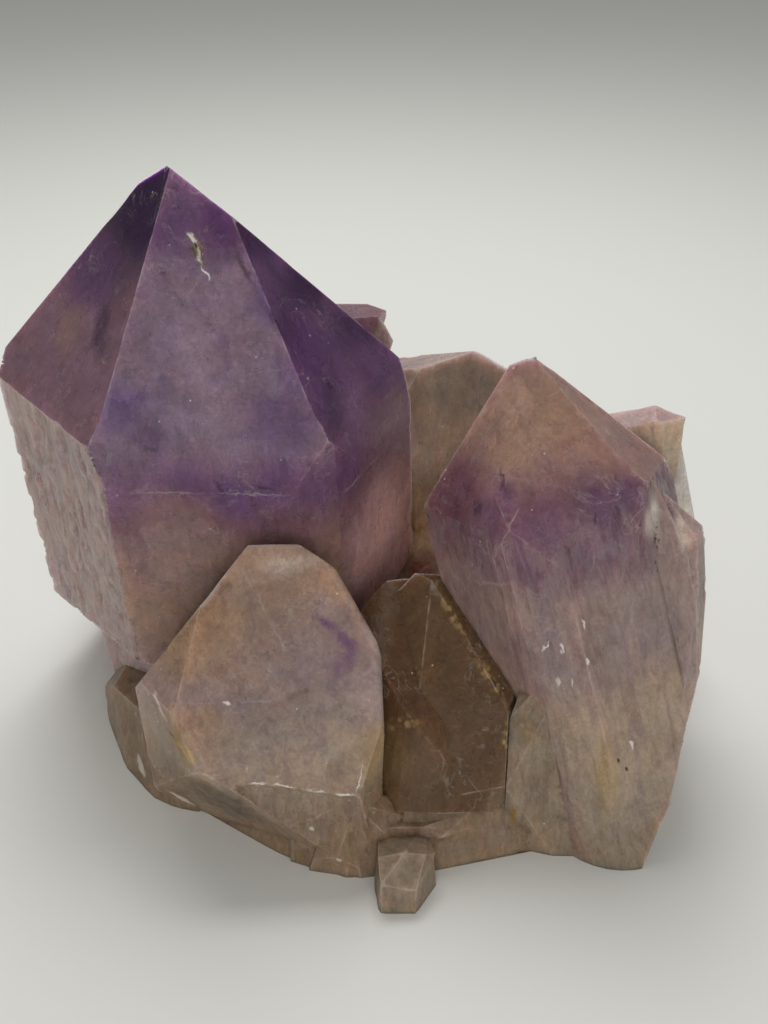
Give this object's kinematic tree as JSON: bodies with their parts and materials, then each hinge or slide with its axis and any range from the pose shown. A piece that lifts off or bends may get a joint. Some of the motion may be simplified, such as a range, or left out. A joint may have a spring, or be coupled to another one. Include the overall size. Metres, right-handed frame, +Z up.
{
  "type": "amethyst crystal cluster",
  "caption": "Cluster of pointed violet quartz crystals grown together on a broken base, with etched prism sides and a flat underside to stand on.",
  "frame": {"origin": "centre of the bounding box's base, on the flat underside", "axes": "+Z up along the big crystal, front of the cluster facing -Y, +X to the viewer's right when looking at the front"},
  "size_m": [0.1312, 0.1148, 0.1088],
  "materials": {
    "amethyst": "smooth translucent crystal faces with matt etched sides"
  },
  "bodies": {
    "root": {"amethyst_cluster": "amethyst"}
  },
  "joints": []
}
